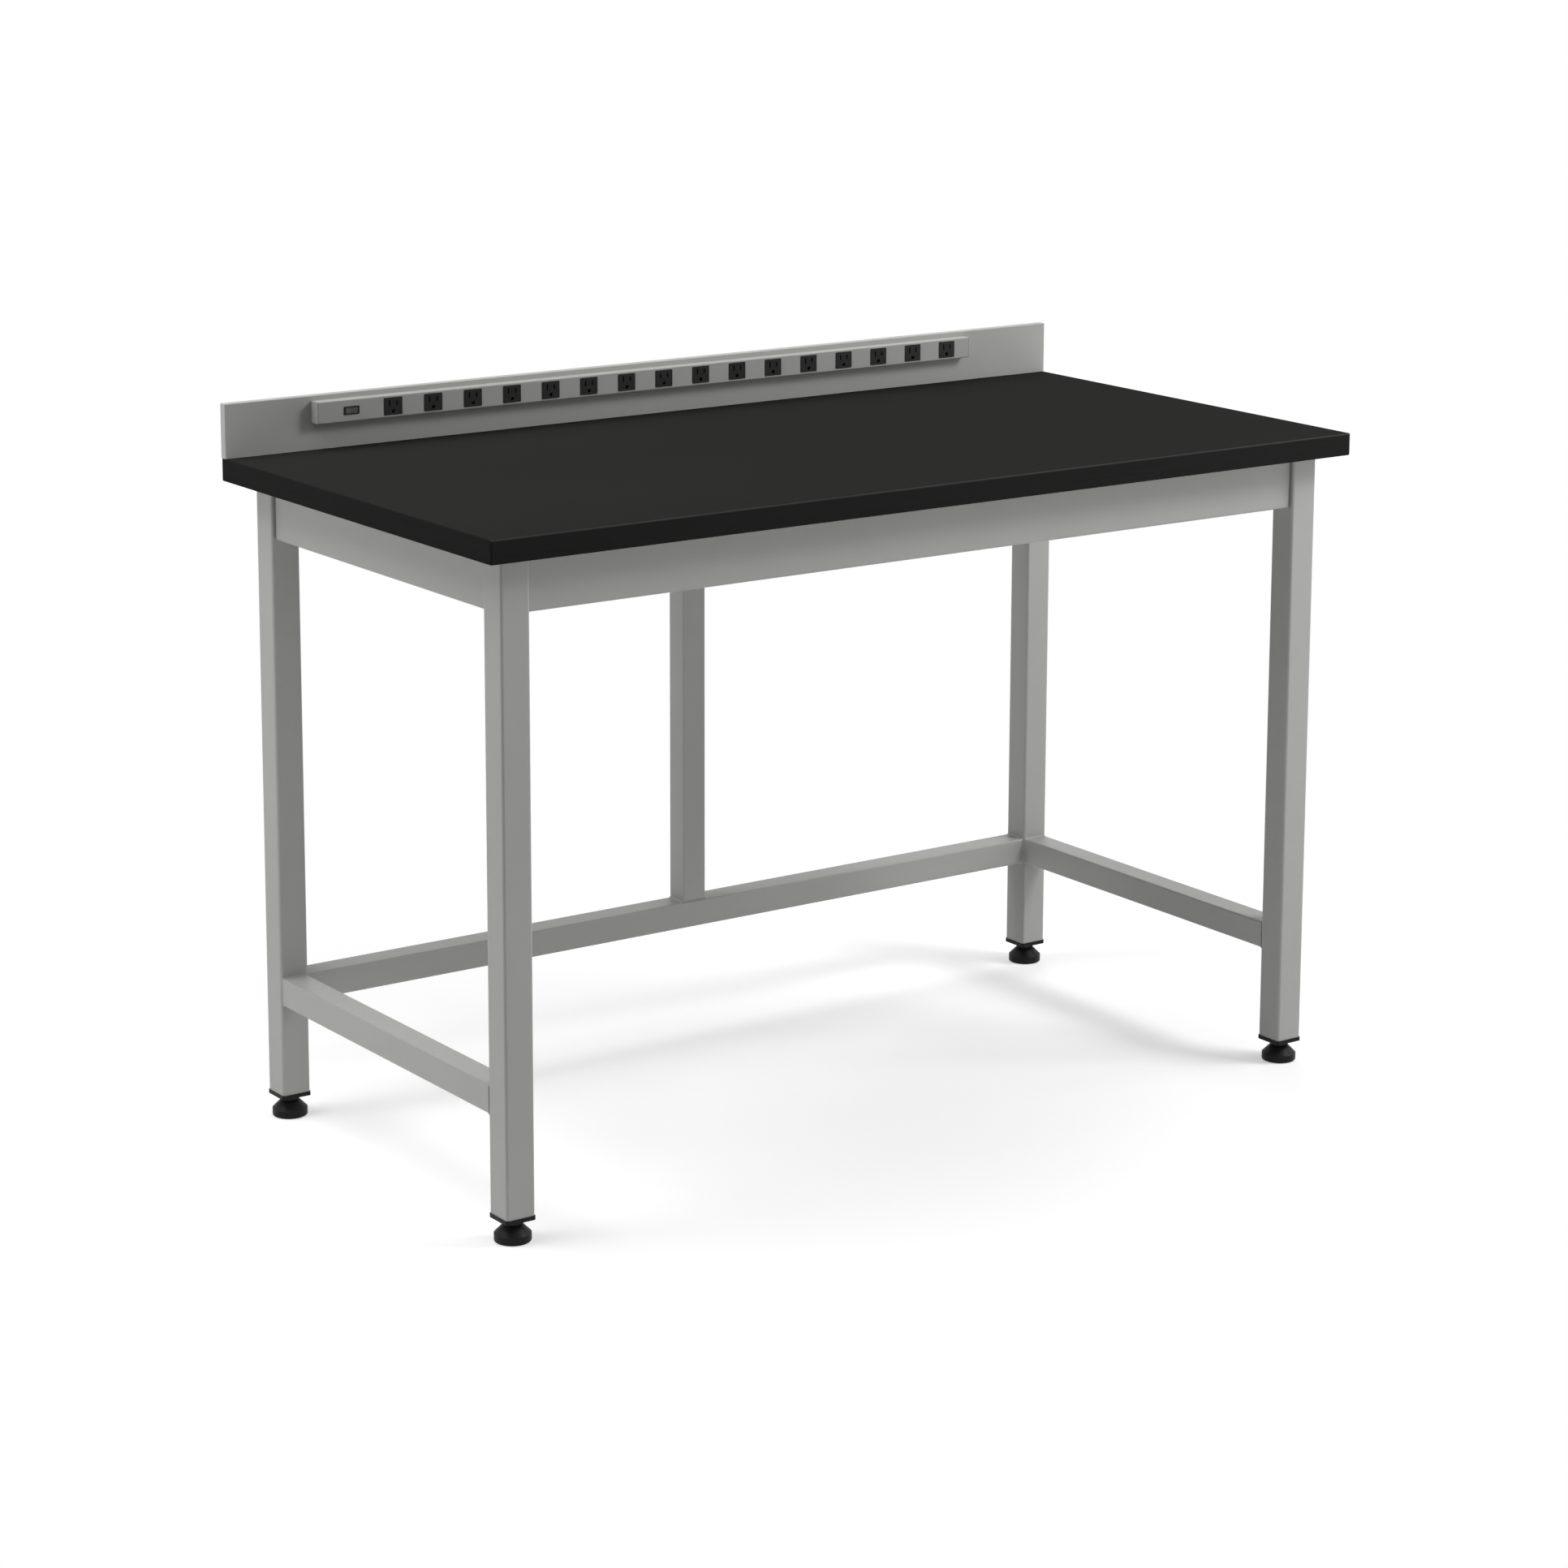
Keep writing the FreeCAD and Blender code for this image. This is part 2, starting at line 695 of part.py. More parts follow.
def make_strip_cover():
    """Snap-on cover with a window for each outlet and one for the switch."""
    x = inset((strip_left, strip_right), strip_end_plate)
    y = (strip_front, ledge_front)
    z = (strip_bottom, strip_top)
    outer = rounded_at(block(x, y, z), X_AXIS, strip_edge_radius, at_strip_front)
    cover = outer.cut(block(x, (strip_front + strip_sheet, ledge_front), inset(z, strip_sheet)))
    window_y = (strip_front, strip_front + strip_sheet)
    outlet_window = 2 * (outlet_body_half_width + snap_clearance)
    outlet_window_z = centred(strip_middle, 2 * (outlet_body_half_height + snap_clearance))
    for position in range(outlet_count):
        cover = cover.cut(block(centred(outlet_x(position), outlet_window), window_y, outlet_window_z))
    lip = switch_flange_overlap - snap_clearance
    return cover.cut(block(centred(switch_x, switch_width - 2 * lip), window_y,
                           centred(strip_middle, switch_height - 2 * lip)))


def make_strip_ends():
    """End plates with rounded outer edges, each with a tongue inside the cover."""
    plates = []
    for low, inward in ((strip_left, 1), (strip_right - strip_end_plate, -1)):
        x = (low, low + strip_end_plate)
        outer_face = x[0] if inward > 0 else x[1]
        plate = block(x, (strip_front, ledge_front), (strip_bottom, strip_top))
        plate = rounded_at(plate, X_AXIS, strip_edge_radius, at_strip_front)
        face_edges = [edge for edge in plate.Edges
                      if abs(edge.CenterOfMass.x - outer_face) < same_place
                      and edge.BoundBox.XLength < same_place
                      and edge.CenterOfMass.y < ledge_front - same_place]
        plate = plate.makeFillet(strip_end_radius, face_edges)
        tongue_start = x[1] if inward > 0 else x[0]
        tongue_x = tuple(sorted((tongue_start, tongue_start + inward * strip_sheet)))
        tongue_wall = strip_sheet + snap_clearance
        tongue = block(tongue_x, (strip_front + tongue_wall, base_front - base_lip_depth - face_clearance),
                       inset((strip_bottom, strip_top), tongue_wall))
        plates.append(plate.fuse(tongue))
    return group(plates)


def make_strip_screws():
    length = strip_sheet + ledge_sheet + small_nut_height + small_screw_end
    return group([pan_screw(small_screw_radius, length, V(x, base_front, strip_middle), Y_AXIS,
                            small_screw_head_radius, small_screw_head_height)
                  for x in strip_screw_xs()])


def blade_offsets():
    """The two blade slots of an outlet: x offset and slot height, neutral on the user's left."""
    return ((-blade_spacing / 2, neutral_slot_height), (blade_spacing / 2, line_slot_height))


def make_outlet(position):
    """Moulded insert: face with two blade slots and a ground hole, pockets open at the rear."""
    x = outlet_x(position)
    face_y = strip_front - outlet_flange
    back_y = strip_front + outlet_body_depth
    pocket_y = (strip_front + outlet_face_depth, back_y)
    flange = block(centred(x, outlet_width), (face_y, strip_front), centred(strip_middle, outlet_height))
    flange = rounded(flange, Y_AXIS, outlet_corner_radius)
    body = block(centred(x, 2 * outlet_body_half_width), (strip_front, back_y),
                 centred(strip_middle, 2 * outlet_body_half_height))
    ear_front = strip_front + strip_sheet + thread_clearance
    ears = block(centred(x, 2 * (outlet_body_half_width + snap_ear_reach)),
                 (ear_front, ear_front + snap_ear_depth), centred(strip_middle, outlet_body_half_height))
    outlet = flange.fuse(body).fuse(ears).removeSplitter()
    for offset, slot_height in blade_offsets():
        slot = block(centred(x + offset, blade_slot_width), (face_y, back_y),
                     centred(blade_height, slot_height))
        pocket = block(centred(x + offset, blade_pocket_width), pocket_y,
                       centred(blade_height, blade_pocket_height))
        outlet = outlet.cut(slot).cut(pocket)
    hole = rod(ground_hole_radius, V(x, face_y, ground_height), back_y - face_y, Y_AXIS)
    hole = hole.common(block(centred(x, 2 * ground_hole_radius), (face_y, back_y),
                             (ground_height - ground_hole_radius, ground_height)))
    flat = block(centred(x, 2 * ground_hole_radius), (face_y, back_y),
                 (ground_height, ground_height + ground_hole_flat))
    pocket = block(centred(x, ground_pocket_width), pocket_y, centred(ground_height, ground_pocket_height))
    return outlet.cut(hole.fuse(flat)).cut(pocket)


def make_rail_with_leaves(middle_z, offset, leaf_gap, leaf_height):
    """A contact rail along the backs of the outlets with a pair of leaves into each one."""
    x = (outlet_x(0) - rail_overrun, outlet_x(outlet_count - 1) + rail_overrun)
    rail = block(x, (rail_front, rail_back), centred(middle_z, rail_height))
    leaves = []
    for position in range(outlet_count):
        for sign in (-1, 1):
            inner = sign * leaf_gap / 2
            leaf_x = sorted((inner, inner + sign * leaf_thickness))
            leaf_x = [outlet_x(position) + offset + value for value in leaf_x]
            leaves.append(block(leaf_x, (rail_front - leaf_depth, rail_front),
                                centred(middle_z, leaf_height)))
    return rail.multiFuse(leaves).removeSplitter()


def make_switch_housing():
    """Frame and box of the switch with a side bore at each end of the rocker's pin."""
    flange = rounded(block(centred(switch_x, switch_width), (switch_front, strip_front),
                           centred(strip_middle, switch_height)), Y_AXIS, outlet_corner_radius)
    body = block(centred(switch_x, switch_width - 2 * switch_flange_overlap),
                 (strip_front, strip_front + switch_body_depth),
                 centred(strip_middle, switch_height - 2 * switch_flange_overlap))
    window = block(centred(switch_x, switch_window_width),
                   (switch_front, strip_front + switch_body_depth - switch_back_wall),
                   centred(strip_middle, switch_window_height))
    pin_length = rocker_height + 2 * rocker_pin_reach + 2 * thread_clearance
    bore = rod(rocker_pin_radius + running_clearance,
               V(switch_x, pivot_y, strip_middle - pin_length / 2), pin_length, Z_AXIS)
    return flange.fuse(body).cut(window).cut(bore).removeSplitter()


def make_switch_rocker():
    """Rocker with two flat faces meeting in a shallow valley, at rest with its left end in."""
    half = rocker_width / 2
    root = rocker_root_width / 2
    outline = [(-half, -rocker_end_rise), (0, -rocker_middle_rise), (half, -rocker_end_rise),
               (half, rocker_pin_radius), (root, rocker_pin_depth),
               (-root, rocker_pin_depth), (-half, rocker_pin_radius)]
    points = [V(px, py, -rocker_height / 2) for px, py in outline]
    body = Part.Face(Part.makePolygon(points + points[:1])).extrude(V(0, 0, rocker_height))
    pin_length = rocker_height + 2 * rocker_pin_reach
    pin = rod(rocker_pin_radius, V(0, 0, -pin_length / 2), pin_length, Z_AXIS)
    rocker = body.fuse(pin).removeSplitter()
    rocker.Placement = FreeCAD.Placement(V(switch_x, pivot_y, strip_middle),
                                         FreeCAD.Rotation(Z_AXIS, -rocker_tilt))
    return rocker


def terminal_xs():
    return centred(switch_x, terminal_spacing)


def make_switch_terminals():
    back = strip_front + switch_body_depth
    return group([block(centred(x, terminal_thickness), (back, back + terminal_length),
                        centred(strip_middle, terminal_height)) for x in terminal_xs()])


def make_strip_wiring():
    """Insulated wires from the entry to the switch and from there to the contact rails."""
    wire_y = rail_back + wire_radius
    start_x = entry_x + grommet_neck_radius + face_clearance
    rail_start = outlet_x(0) - rail_overrun
    line_z = strip_middle + line_rail_rise
    runs = []
    for z in (strip_middle + neutral_rail_rise, ground_height):
        runs.append((start_x, rail_start + wire_overlap, z))
    tab_left, tab_right = terminal_xs()
    runs.append((start_x, tab_left - terminal_thickness / 2, line_z))
    runs.append((tab_right + terminal_thickness / 2, rail_start + wire_overlap, line_z))
    return group([rod(wire_radius, V(low, wire_y, z), high - low, X_AXIS) for low, high, z in runs])


# ---------------------------------------------------------------- all nodes

def build_nodes():
    nodes = {
        "worktop": make_worktop(),
        "apron_front": make_long_rail(-1),
        "apron_back": make_long_rail(1),
        "apron_left": make_short_rail(-1),
        "apron_right": make_short_rail(1),
        "stretcher_back": make_back_stretcher(),
        "stretcher_left": make_side_stretcher(-1),
        "stretcher_right": make_side_stretcher(1),
        "mid_post": make_mid_post(),
        "apron_bolts": make_apron_bolts(),
        "weld_nuts": make_weld_nuts(),
        "worktop_screws": make_worktop_screws(),
        "leg_plugs": make_leg_plugs(),
        "plug_nuts": make_plug_nuts(),
        "backsplash_panel": make_backsplash_panel(),
        "backsplash_stiffeners": make_stiffeners(),
        "backsplash_rear_cover": make_rear_cover(),
        "rear_cover_screws": make_rear_cover_screws(),
        "backsplash_screws": make_backsplash_screws(),
        "supply_grommet": make_supply_grommet(),
        "strip_base": make_strip_base(),
        "strip_cover": make_strip_cover(),
        "strip_ends": make_strip_ends(),
        "strip_screws": make_strip_screws(),
        "neutral_bus": make_rail_with_leaves(strip_middle + neutral_rail_rise, -blade_spacing / 2,
                                             blade_leaf_gap, blade_leaf_height),
        "line_bus": make_rail_with_leaves(strip_middle + line_rail_rise, blade_spacing / 2,
                                          blade_leaf_gap, blade_leaf_height),
        "ground_bus": make_rail_with_leaves(ground_height, 0, ground_leaf_gap, blade_leaf_height),
        "switch_housing": make_switch_housing(),
        "switch_rocker": make_switch_rocker(),
        "switch_terminals": make_switch_terminals(),
        "strip_wiring": make_strip_wiring(),
    }
    for name in leg_names:
        nodes["leg_" + name] = make_leg(name)
        nodes["foot_pad_" + name] = make_foot_pad(name)
        nodes["foot_stem_" + name] = make_foot_stem(name)
    for position in range(outlet_count):
        nodes["outlet_%02d" % (position + 1)] = make_outlet(position)
    return nodes


os.makedirs("parts", exist_ok=True)
for node, shape in build_nodes().items():
    shape.exportStep("parts/" + node + ".step")
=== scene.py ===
"""Looks of a laboratory table round its fixed CAD frame.

It gives the CAD nodes their finishes, adds the weld beads and the screw feet, and sets up the
floor, the light and the camera.
"""
import json
import math

import bmesh
import bpy
from mathutils import Matrix, Vector


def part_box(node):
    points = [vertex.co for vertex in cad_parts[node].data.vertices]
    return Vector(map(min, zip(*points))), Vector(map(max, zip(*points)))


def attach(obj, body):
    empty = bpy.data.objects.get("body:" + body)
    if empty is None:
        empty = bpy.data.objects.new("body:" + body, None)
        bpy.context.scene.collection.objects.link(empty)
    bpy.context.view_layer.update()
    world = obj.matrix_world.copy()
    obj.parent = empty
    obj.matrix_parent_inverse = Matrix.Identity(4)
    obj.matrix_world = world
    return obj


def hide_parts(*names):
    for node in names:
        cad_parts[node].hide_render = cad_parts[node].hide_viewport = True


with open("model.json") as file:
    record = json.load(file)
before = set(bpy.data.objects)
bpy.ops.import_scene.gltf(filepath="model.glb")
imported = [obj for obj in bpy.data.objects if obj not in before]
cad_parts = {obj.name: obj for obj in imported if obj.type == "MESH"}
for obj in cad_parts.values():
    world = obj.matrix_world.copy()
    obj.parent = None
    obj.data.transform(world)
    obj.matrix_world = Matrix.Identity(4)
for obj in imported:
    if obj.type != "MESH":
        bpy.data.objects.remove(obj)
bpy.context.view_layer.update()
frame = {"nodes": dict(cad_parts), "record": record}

# ---------------------------------------------------------------- driving values: metres, degrees, watts

X_AXIS = Vector((1, 0, 0))
Y_AXIS = Vector((0, 1, 0))
Z_AXIS = Vector((0, 0, 1))

# The camera was fitted to the straight edges in the photo. Its sensor is in millimetres and its
# focal length in the photo's pixels. AXIS_PIXEL_Y is the row of the photo that the lens points at.
CAMERA_PLACE = Vector((-3.499127, -4.958073, 2.040561))
CAMERA_YAW = 35.028
CAMERA_PITCH = -11.166
CAMERA_ROLL = 0.182
SENSOR_WIDTH = 36.0
IMAGE_SIDE = 1932
FOCAL_PIXELS = 5081.575
AXIS_PIXEL_Y = 676

# Each panel: where it hangs, what it looks at, its side and its power.
PANELS = {
    "key_panel": ((2.2, -1.9, 3.0), (0.2, 0.0, 0.8), 1.2, 67.0),
    "low_panel": ((3.2, -1.2, 1.2), (0.2, 0.0, 0.6), 1.0, 21.0),
    "front_panel": ((0.8, -3.4, 0.9), (0.1, 0.0, 0.5), 1.4, 14.0),
    "top_panel": ((-1.5, 0.5, 3.2), (0.0, 0.0, 0.6), 2.0, 57.0),
    "side_panel": ((-2.6, 0.6, 0.9), (0.0, 0.0, 0.5), 1.0, 12.0),
    "back_panel": ((1.8, 1.6, 2.6), (0.0, 0.0, 0.6), 1.2, 14.0),
}
WORLD_FILL = 0.07
BACKDROP_WHITE = 1.0
FLOOR_RAYS = ("Is Camera Ray", "Is Glossy Ray")
WORLD_RAYS = FLOOR_RAYS + ("Is Transmission Ray",)

# The table is lit by a floor that returns FLOOR_BOUNCE of the light. The floor that is seen
# returns FLOOR_SEEN and gives off FLOOR_GLOW, and turns white outside an oval round the table.
FLOOR_HALF = 12.0
FLOOR_BOUNCE = 0.92
FLOOR_ROUGHNESS = 0.9
FLOOR_GLOW = 0.43
FLOOR_SEEN = 0.84
FADE_STRETCH = (1.3, 0.85)
FADE_FROM = 0.75
FADE_TO = 1.4

GREY_PAINT = (0.400, 0.400, 0.385)
STRIP_PAINT = (0.390, 0.390, 0.378)
# The top's face sheet is toned lighter than the core of the edges: painted light for the brighter top.
SHEET_BLACK = (0.0270, 0.0270, 0.0263)
CORE_BLACK = (0.0198, 0.0198, 0.0195)
NYLON_BLACK = (0.0095, 0.0095, 0.0095)
MOULDED_BLACK = (0.011, 0.011, 0.011)
ROCKER_SMOKE = (0.120, 0.113, 0.108)
ZINC = (0.62, 0.62, 0.60)
GALVANISED = (0.50, 0.51, 0.52)
BRASS = (0.34, 0.26, 0.14)
WIRE_BLACK = (0.03, 0.03, 0.03)
RUBBER_BLACK = (0.02, 0.02, 0.02)

# Nearly all values of a noise texture lie between these two.
NOISE_LOW = 0.3
NOISE_HIGH = 0.7

# How dense a noise is along X, Y and Z, where it is drawn out into plies or streaks.
PLY_SCALE = (4.0, 4.0, 900.0)
PLATED_SCALE = (300.0, 300.0, 40.0)
ROLLED_SCALE = (30.0, 400.0, 400.0)
STREAK_SHARE = 0.6
SPANGLE_SCALE = 120.0

PAINT_IOR = 1.4
LAMINATE_IOR = 1.45
NO_GLOSS = 0.0

# The worktop's face sheet, and the painted highlight along its upper front edge: the core's colour
# toned lighter, in place of light caught by the rounded arris. Tones are shares of the finish's own
# colour, from the darkest to the lightest.
SHEET_BAND = 0.0003
ARRIS_HIGHLIGHT_BAND = 0.0026
ARRIS_HIGHLIGHT_TONES = (2.52, 3.08)

# Painted shade lines on the outlet strip's cover where it meets its two ends, in place of the shade in the
# seams.
SEAM_SHADE_WIDTH = 0.0006
SEAM_SHADE_TONES = (0.25, 0.275)

SHARP_ANGLE = 40.0

# The weld beads. WELD_CROWN is how far the middle of a bead stands out, as a share of its legs,
# and a bead is left off where its direction leans to a flush side by more than FLUSH_LIMIT.
TUBE_CORNER = 0.003
WELD_LEG = 0.0019
WELD_CROWN = 0.62
WELD_ROOT = 0.0001
WELD_STEP = 0.0008
WELD_RIPPLE = 0.09
WELD_RIPPLE_STEPS = 3
WELD_CORNER_STEPS = 6
WELD_CORNERS = 4
FLUSH_LIMIT = 0.3

# The screw feet. THREAD_FLANK steepens the thread's flanks, which leaves its root flat, and the
# thread reaches THREAD_SEAT into the hub. THREAD_RINGS counts the rings of points in one pitch.
THREAD_PITCH = 0.0015
THREAD_RADIUS = 0.005
THREAD_DEPTH = 0.00092
THREAD_FLANK = 1.2
THREAD_VISIBLE = 0.032
THREAD_RINGS = 6
THREAD_FACETS = 24
THREAD_SEAT = 0.001
HUB_FLATS = 0.025
HUB_HEIGHT = 0.008
HUB_CHAMFER = 0.0011
HUB_FACETS = 72
COLLAR_RADIUS = 0.008
COLLAR_HEIGHT = 0.0046
PAD_TOP_GAP = 0.0003

LEGS = ("front_left", "front_right", "back_left", "back_right")


# ---------------------------------------------------------------- node helpers

class Finish:
    """A material under construction: its node tree, its shader and the object's own coordinates."""

    def __init__(self, name):
        self.material = bpy.data.materials.new(name)
        self.material.use_nodes = True
        self.tree = self.material.node_tree
        self.shader = self.tree.nodes["Principled BSDF"]
        self.place = self.tree.nodes.new("ShaderNodeTexCoord").outputs["Object"]

    def node(self, kind, **settings):
        made = self.tree.nodes.new(kind)
        for key, value in settings.items():
            setattr(made, key, value)
        return made

    def link(self, source, target):
        self.tree.links.new(source, target)

    def along(self, axis):
        """The object's coordinate along one axis."""
        axes = self.node("ShaderNodeSeparateXYZ")
        self.link(self.place, axes.inputs["Vector"])
        return axes.outputs[axis]

    def stretched(self, scale):
        """The object's coordinates, scaled along each axis."""
        mapping = self.node("ShaderNodeMapping")
        mapping.inputs["Scale"].default_value = scale
        self.link(self.place, mapping.inputs["Vector"])
        return mapping.outputs["Vector"]

    def noise(self, scale, detail, roughness=0.5, place=None):
        made = self.node("ShaderNodeTexNoise")
        made.inputs["Scale"].default_value = scale
        made.inputs["Detail"].default_value = detail
        made.inputs["Roughness"].default_value = roughness
        self.link(place or self.place, made.inputs["Vector"])
        return made.outputs["Fac"]

    def ranged(self, source, low=0.0, high=1.0, from_low=NOISE_LOW, from_high=NOISE_HIGH):
        """A value between two limits, spread out from low to high and held there beyond them."""
        made = self.node("ShaderNodeMapRange")
        made.inputs["From Min"].default_value = from_low
        made.inputs["From Max"].default_value = from_high
        made.inputs["To Min"].default_value = low
        made.inputs["To Max"].default_value = high
        self.link(source, made.inputs["Value"])
        return made.outputs["Result"]

    def varied(self, source, middle, less, more):
        """A value that a noise moves from a little less than its middle to a little more."""
        return self.ranged(source, middle - less, middle + more)

    def calculate(self, operation, first, second=0.0):
        made = self.node("ShaderNodeMath", operation=operation)
        for socket, value in zip(made.inputs, (first, second)):
            if isinstance(value, (int, float)):
                socket.default_value = value
            else:
                self.link(value, socket)
        return made.outputs["Value"]

    def toned(self, factor, colour, darkest, lightest):
        """A colour that runs from its darkest to its lightest tone as the factor goes from 0 to 1."""
        made = self.node("ShaderNodeMix", data_type="RGBA")
        made.inputs["A"].default_value = (*shade(colour, darkest), 1.0)
        made.inputs["B"].default_value = (*shade(colour, lightest), 1.0)
        self.link(factor, made.inputs["Factor"])
        return made.outputs["Result"]

    def layered(self, factor, under, over):
        """One colour output laid over another by a factor."""
        made = self.node("ShaderNodeMix", data_type="RGBA")
        self.link(factor, made.inputs["Factor"])
        self.link(under, made.inputs["A"])
        self.link(over, made.inputs["B"])
        return made.outputs["Result"]

    def bump(self, height, depth, under=None):
        made = self.node("ShaderNodeBump")
        made.inputs["Distance"].default_value = depth
        self.link(height, made.inputs["Height"])
        if under:
            self.link(under, made.inputs["Normal"])
        return made.outputs["Normal"]

    def beyond(self, axis, reach, blend):
        """1 where the coordinate along an axis passes a reach, and 0 from a blend below it."""
        return self.ranged(self.along(axis), from_low=reach - blend, from_high=reach)

    def line_across(self, axis, place, width):
        """1 on a narrow line where the coordinate along an axis is near a place."""
        away = self.calculate("ABSOLUTE", self.calculate("SUBTRACT", self.along(axis), place))
        return self.calculate("LESS_THAN", away, width / 2)

    def connect(self, colour, roughness, normal, **fixed):
        """Link colour, roughness and normal, and set the shader's other sockets to plain numbers."""
        self.link(colour, self.shader.inputs["Base Color"])
        self.link(roughness, self.shader.inputs["Roughness"])
        self.link(normal, self.shader.inputs["Normal"])
        for key, value in fixed.items():
            self.shader.inputs[key.replace("_", " ")].default_value = value
        return self.material


def shade(colour, amount):
    return tuple(min(1.0, channel * amount) for channel in colour)


# ---------------------------------------------------------------- finishes

def powder_coat(name, colour, roughness, joints=()):
    """Satin powder coat with faint clouds, fine flecks and orange peel, and painted shade lines across X
    at seams.
    """
    finish = Finish(name)
    clouds = finish.ranged(finish.noise(scale=5.0, detail=3.0))
    flecks = finish.ranged(finish.noise(scale=900.0, detail=1.0), high=0.35, from_low=0.55, from_high=0.75)
    base = finish.toned(clouds, colour, darkest=0.98, lightest=1.02)
    speck = finish.toned(flecks, colour, darkest=1.0, lightest=1.12)
    surface = finish.layered(flecks, base, speck)
    for seam_place in joints:
        # Painted shade: a dark line where the cover meets an end, standing in for the shade in the seam.
        seam_shade = finish.toned(clouds, colour, *SEAM_SHADE_TONES)
        surface = finish.layered(finish.line_across("X", seam_place, SEAM_SHADE_WIDTH), surface, seam_shade)
    sheen = finish.varied(finish.noise(scale=60.0, detail=3.0), roughness, less=0.03, more=0.04)
    peel = finish.bump(finish.noise(scale=420.0, detail=2.0, roughness=0.4), depth=0.00004)
    grain = finish.bump(finish.noise(scale=2200.0, detail=1.0), depth=0.00001, under=peel)
    return finish.connect(surface, sheen, grain, IOR=PAINT_IOR)


def black_slab(name, sheet_colour, core_colour, low, high):
    """Compact laminate between two corners: a dead-matte face sheet on a core, the sheet toned lighter as
    painted light for the brighter top.

    The arris along its upper front edge has a painted highlight: a band toned lighter than the core.
    """
    finish = Finish(name)
    clouds = finish.ranged(finish.noise(scale=3.0, detail=4.0))
    grit = finish.ranged(finish.noise(scale=1500.0, detail=1.0), high=0.4, from_low=0.58, from_high=0.8)
    even_sheet = finish.toned(clouds, sheet_colour, darkest=0.97, lightest=1.03)
    gritty_sheet = finish.toned(grit, sheet_colour, darkest=1.0, lightest=1.6)
    sheet = finish.layered(grit, even_sheet, gritty_sheet)
    plies = finish.noise(scale=1.0, detail=3.0, roughness=0.6, place=finish.stretched(PLY_SCALE))
    core = finish.toned(finish.ranged(plies), core_colour, darkest=0.93, lightest=1.07)
    # Painted highlight: the arris band is toned lighter than the core, in place of the light the rounded
    # edge catches.
    painted_arris_highlight = finish.toned(clouds, core_colour, *ARRIS_HIGHLIGHT_TONES)
    behind_front = finish.beyond("Y", low.y + ARRIS_HIGHLIGHT_BAND, ARRIS_HIGHLIGHT_BAND / 2)
    near_top = finish.beyond("Z", high.z - ARRIS_HIGHLIGHT_BAND / 2, ARRIS_HIGHLIGHT_BAND / 2)
    on_arris_highlight = finish.calculate("MULTIPLY", near_top, finish.calculate("SUBTRACT", 1.0, behind_front))
    edge = finish.layered(on_arris_highlight, core, painted_arris_highlight)
    # Painted light: the top's face sheet is toned lighter than the core at the edges.
    surface = finish.layered(finish.beyond("Z", high.z, SHEET_BAND), edge, sheet)
    sheen = finish.ranged(finish.noise(scale=40.0, detail=4.0), low=0.45, high=0.55)
    press = finish.bump(finish.noise(scale=700.0, detail=3.0, roughness=0.6), depth=0.00002)
    return finish.connect(surface, sheen, press, IOR=LAMINATE_IOR, Specular_IOR_Level=NO_GLOSS)


def moulded(name, colour, roughness, ior):
    """Injection-moulded plastic with a spark-eroded grain and a little tone drift."""
    finish = Finish(name)
    drift = finish.ranged(finish.noise(scale=30.0, detail=3.0))
    surface = finish.toned(drift, colour, darkest=0.9, lightest=1.15)
    sheen = finish.varied(finish.noise(scale=250.0, detail=2.0), roughness, less=0.05, more=0.06)
    grain = finish.bump(finish.noise(scale=3000.0, detail=2.0, roughness=0.6), depth=0.00003)
    return finish.connect(surface, sheen, grain, IOR=ior)


def bare_metal(name, colour, roughness, streak_scale):
    """Bare or plated metal with rolled streaks, dull patches and fine scratches."""
    finish = Finish(name)
    streaks = finish.noise(scale=1.0, detail=4.0, roughness=0.6, place=finish.stretched(streak_scale))
    patches = finish.noise(scale=35.0, detail=4.0, roughness=0.6)
    streak_part = finish.calculate("MULTIPLY", streaks, STREAK_SHARE)
    patch_part = finish.calculate("MULTIPLY", patches, 1 - STREAK_SHARE)
    tone = finish.ranged(finish.calculate("ADD", streak_part, patch_part))
    surface = finish.toned(tone, colour, darkest=0.82, lightest=1.08)
    sheen = finish.varied(patches, roughness, less=0.08, more=0.1)
    scratches = finish.bump(streaks, depth=0.00002)
    return finish.connect(surface, sheen, scratches, Metallic=1.0)


def spangled_zinc(name, colour):
    """Hot-dip galvanised sheet: flat crystal cells of slightly different grey."""
    finish = Finish(name)
    cells = finish.node("ShaderNodeTexVoronoi", feature="F1")
    cells.inputs["Scale"].default_value = SPANGLE_SCALE
    finish.link(finish.place, cells.inputs["Vector"])
    to_grey = finish.node("ShaderNodeRGBToBW")
    finish.link(cells.outputs["Color"], to_grey.inputs["Color"])
    grey = to_grey.outputs["Val"]
    surface = finish.toned(grey, colour, darkest=0.85, lightest=1.1)
    sheen = finish.ranged(grey, low=0.32, high=0.5, from_low=0.0, from_high=1.0)
    grain = finish.bump(finish.noise(scale=600.0, detail=2.0), depth=0.00002)
    return finish.connect(surface, sheen, grain, Metallic=1.0)


def painted_weld(name, colour):
    """Powder coat over a weld bead: the coat of the frame, uneven where it flowed over the ripples."""
    finish = Finish(name)
    clouds = finish.ranged(finish.noise(scale=80.0, detail=3.0))
    surface = finish.toned(clouds, colour, darkest=0.97, lightest=1.03)
    sheen = finish.ranged(finish.noise(scale=200.0, detail=2.0), low=0.36, high=0.46)
    ripple = finish.bump(finish.noise(scale=700.0, detail=2.0), depth=0.00006)
    return finish.connect(surface, sheen, ripple, IOR=PAINT_IOR)


